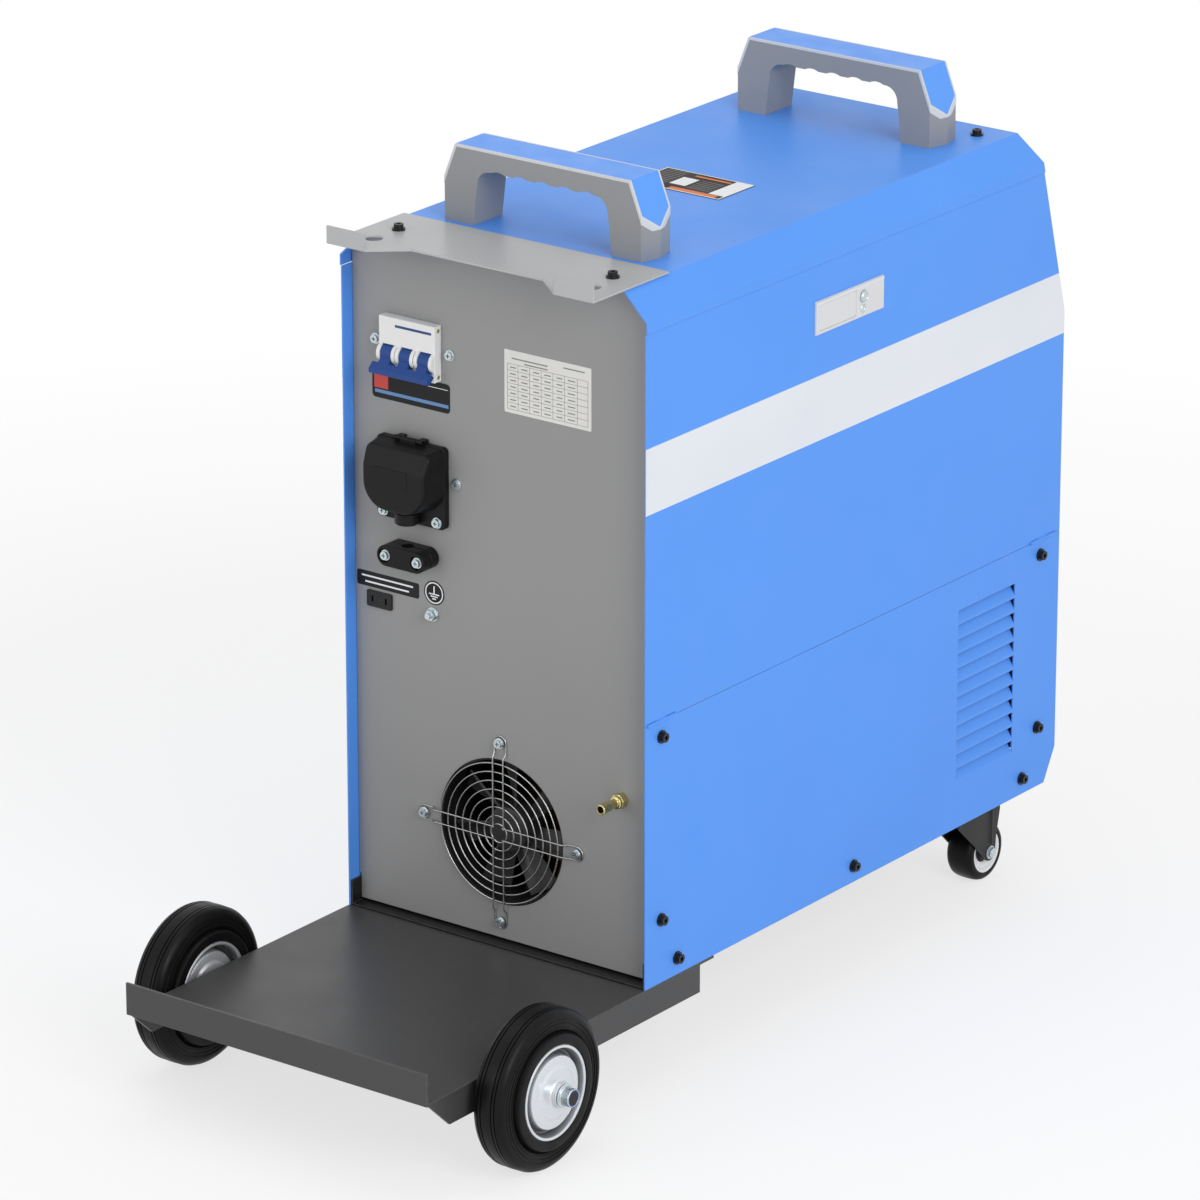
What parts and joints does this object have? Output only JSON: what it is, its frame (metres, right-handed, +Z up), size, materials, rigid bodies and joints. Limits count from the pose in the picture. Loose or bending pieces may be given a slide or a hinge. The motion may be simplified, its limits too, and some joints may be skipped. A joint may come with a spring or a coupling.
{
  "type": "mig welder on cart",
  "caption": "Cabinet welding power source with a built-in wire feeder, carried on a two-wheel gas bottle cart with swivel casters.",
  "frame": {"origin": "on the floor, under the middle of the overall length and width", "axes": "+Z up, front of the machine towards -Y, bottle tray towards +Y, feeder door on the -X side"},
  "size_m": [0.3998, 0.857, 0.6995],
  "materials": {
    "blue_paint": "satin powder coat, fine orange peel",
    "grey_paint": "satin powder coat",
    "black_paint": "satin powder coat",
    "dark_grey_paint": "semi-gloss powder coat",
    "light_grey_paint": "semi-gloss powder coat",
    "handle_plastic": "moulded, fine grain",
    "blue_plastic": "moulded, satin",
    "black_plastic": "moulded, satin",
    "breaker_plastic": "moulded, satin",
    "toggle_plastic": "moulded, gloss",
    "latch_plastic": "moulded, satin",
    "label_film": "printed film, blank",
    "black_zinc": "black zinc plate",
    "zinc": "bright zinc plate",
    "sheet_steel": "galvanised sheet",
    "chrome_wire": "bright nickel wire",
    "brass": "turned",
    "copper": "lacquered winding",
    "copper_wire": "copper coated steel wire",
    "heatsink_alu": "extruded",
    "board_green": "solder mask",
    "tyre_rubber": "moulded",
    "rim_paint": "bright grey paint on pressed steel",
    "hose_rubber": "smooth"
  },
  "bodies": {
    "case": {"base_pan": "black_paint", "rear_panel": "grey_paint", "front_panel": "grey_paint", "plain_side_panel": "blue_paint", "louvre_side_panel": "blue_paint", "divider_wall": "sheet_steel", "roof_cover": "blue_paint", "cover_screws": "black_zinc", "bottle_bracket": "light_grey_paint", "rear_handle_grip": "handle_plastic", "front_handle_grip": "handle_plastic", "handle_inlays": "blue_plastic", "breaker_body": "breaker_plastic", "label_plates": "label_film", "panel_screws": "zinc", "terminal_base": "black_plastic", "cable_clamp": "black_plastic", "heater_socket": "black_plastic", "fan_guard": "chrome_wire", "fan_frame": "black_plastic", "gas_inlet": "brass", "gas_valve": "sheet_steel", "gas_hose": "hose_rubber", "bottle_tray": "dark_grey_paint", "axle": "zinc", "axle_caps": "zinc", "caster_plates": "black_paint", "power_magnetics": "copper", "heatsink": "heatsink_alu", "inverter_board": "board_green", "control_panel": "black_plastic", "torch_socket": "black_plastic", "output_sockets": "black_plastic", "feeder_plate": "heatsink_alu", "feed_motor": "black_paint", "spool_spindle": "black_plastic"},
    "breaker_lever": {"breaker_toggle": "toggle_plastic"},
    "terminal_cover": {"terminal_lid": "black_plastic"},
    "fan_rotor": {"fan_impeller": "black_plastic"},
    "rear_wheel_left": {"rim_left": "rim_paint", "tyre_left": "tyre_rubber"},
    "rear_wheel_right": {"rim_right": "rim_paint", "tyre_right": "tyre_rubber"},
    "caster_left": {"caster_fork_left": "black_paint"},
    "caster_right": {"caster_fork_right": "black_paint"},
    "caster_roller_left": {"caster_wheel_left": "tyre_rubber"},
    "caster_roller_right": {"caster_wheel_right": "tyre_rubber"},
    "feeder_door": {"side_door": "blue_paint", "latch_plate": "latch_plastic"},
    "door_paddle": {"latch_paddle": "latch_plastic"},
    "door_bolt": {"latch_bolt": "zinc"},
    "lock_button": {"latch_button": "zinc"},
    "feed_roll": {"drive_roll": "zinc"},
    "tension_arm": {"pressure_arm": "black_plastic"},
    "idle_roll": {"pressure_roll": "zinc"},
    "spool": {"wire_spool": "black_plastic", "wire_pack": "copper_wire"},
    "voltage_knob": {"left_knob": "black_plastic"},
    "current_knob": {"right_knob": "black_plastic"},
    "select_button": {"mode_button": "zinc"}
  },
  "joints": [
    {"name": "breaker_switch", "type": "hinge", "parent": "case", "child": "breaker_lever", "pos_m": [0.085, 0.1515, 0.543], "axis": [1, 0, 0], "range_deg": [0, 80]},
    {"name": "terminal_lid_hinge", "type": "hinge", "parent": "case", "child": "terminal_cover", "pos_m": [0.084, 0.155, 0.4776], "axis": [1, 0, 0], "range_deg": [0, 110]},
    {"name": "fan_spin", "type": "hinge", "parent": "case", "child": "fan_rotor", "pos_m": [0.0025, 0.1275, 0.1723], "axis": [0, 1, 0], "continuous": true},
    {"name": "rear_wheel_left_spin", "type": "hinge", "parent": "case", "child": "rear_wheel_left", "pos_m": [-0.1656, 0.322, 0.0635], "axis": [1, 0, 0], "continuous": true},
    {"name": "rear_wheel_right_spin", "type": "hinge", "parent": "case", "child": "rear_wheel_right", "pos_m": [0.1656, 0.322, 0.0635], "axis": [1, 0, 0], "continuous": true},
    {"name": "caster_left_swivel", "type": "hinge", "parent": "case", "child": "caster_left", "pos_m": [-0.104, -0.3305, 0.068], "axis": [0, 0, 1], "continuous": true},
    {"name": "caster_left_roll", "type": "hinge", "parent": "caster_left", "child": "caster_roller_left", "pos_m": [-0.104, -0.3505, 0.0255], "axis": [1, 0, 0], "continuous": true},
    {"name": "caster_right_swivel", "type": "hinge", "parent": "case", "child": "caster_right", "pos_m": [0.104, -0.3305, 0.068], "axis": [0, 0, 1], "continuous": true},
    {"name": "caster_right_roll", "type": "hinge", "parent": "caster_right", "child": "caster_roller_right", "pos_m": [0.104, -0.3505, 0.0255], "axis": [1, 0, 0], "continuous": true},
    {"name": "door_hinge", "type": "hinge", "parent": "case", "child": "feeder_door", "pos_m": [-0.145, -0.1225, 0.296], "axis": [0, -1, 0], "range_deg": [0, 110]},
    {"name": "paddle_pull", "type": "hinge", "parent": "feeder_door", "child": "door_paddle", "pos_m": [-0.1464, -0.0611, 0.5643], "axis": [0, 0, -1], "range_deg": [0, 35]},
    {"name": "bolt_slide", "type": "slide", "parent": "feeder_door", "child": "door_bolt", "axis": [0, 0, -1], "range_m": [0, 0.006], "stiffness_N_per_m": 100, "springref_m": -0.006},
    {"name": "lock_press", "type": "slide", "parent": "feeder_door", "child": "lock_button", "axis": [1, 0, 0], "range_m": [0, 0.0025], "stiffness_N_per_m": 400, "springref_m": -0.002},
    {"name": "feed_roll_spin", "type": "hinge", "parent": "case", "child": "feed_roll", "pos_m": [-0.058, -0.29051, 0.331], "axis": [1, 0, 0], "continuous": true},
    {"name": "tension_arm_lift", "type": "hinge", "parent": "case", "child": "tension_arm", "pos_m": [-0.058, -0.32051, 0.375], "axis": [1, 0, 0], "range_deg": [0, 60]},
    {"name": "idle_roll_spin", "type": "hinge", "parent": "tension_arm", "child": "idle_roll", "pos_m": [-0.058, -0.29051, 0.361], "axis": [1, 0, 0], "continuous": true},
    {"name": "spool_spin", "type": "hinge", "parent": "case", "child": "spool", "pos_m": [-0.081, -0.0305, 0.427], "axis": [1, 0, 0], "continuous": true},
    {"name": "voltage_turn", "type": "hinge", "parent": "case", "child": "voltage_knob", "pos_m": [-0.062, -0.38812, 0.52878], "axis": [0, -0.9648, 0.2631], "range_deg": [-135, 135]},
    {"name": "current_turn", "type": "hinge", "parent": "case", "child": "current_knob", "pos_m": [0.062, -0.38812, 0.52878], "axis": [0, -0.9648, 0.2631], "range_deg": [-135, 135]},
    {"name": "select_press", "type": "slide", "parent": "case", "child": "select_button", "axis": [0, 0.9648, -0.2631], "range_m": [0, 0.002], "stiffness_N_per_m": 400, "springref_m": -0.002}
  ],
  "couplings": [
    {"joint": "idle_roll_spin", "follows": "feed_roll_spin", "ratio": -1.0714},
    {"joint": "paddle_pull", "follows": "bolt_slide", "rad_per_m": 101.81}
  ]
}
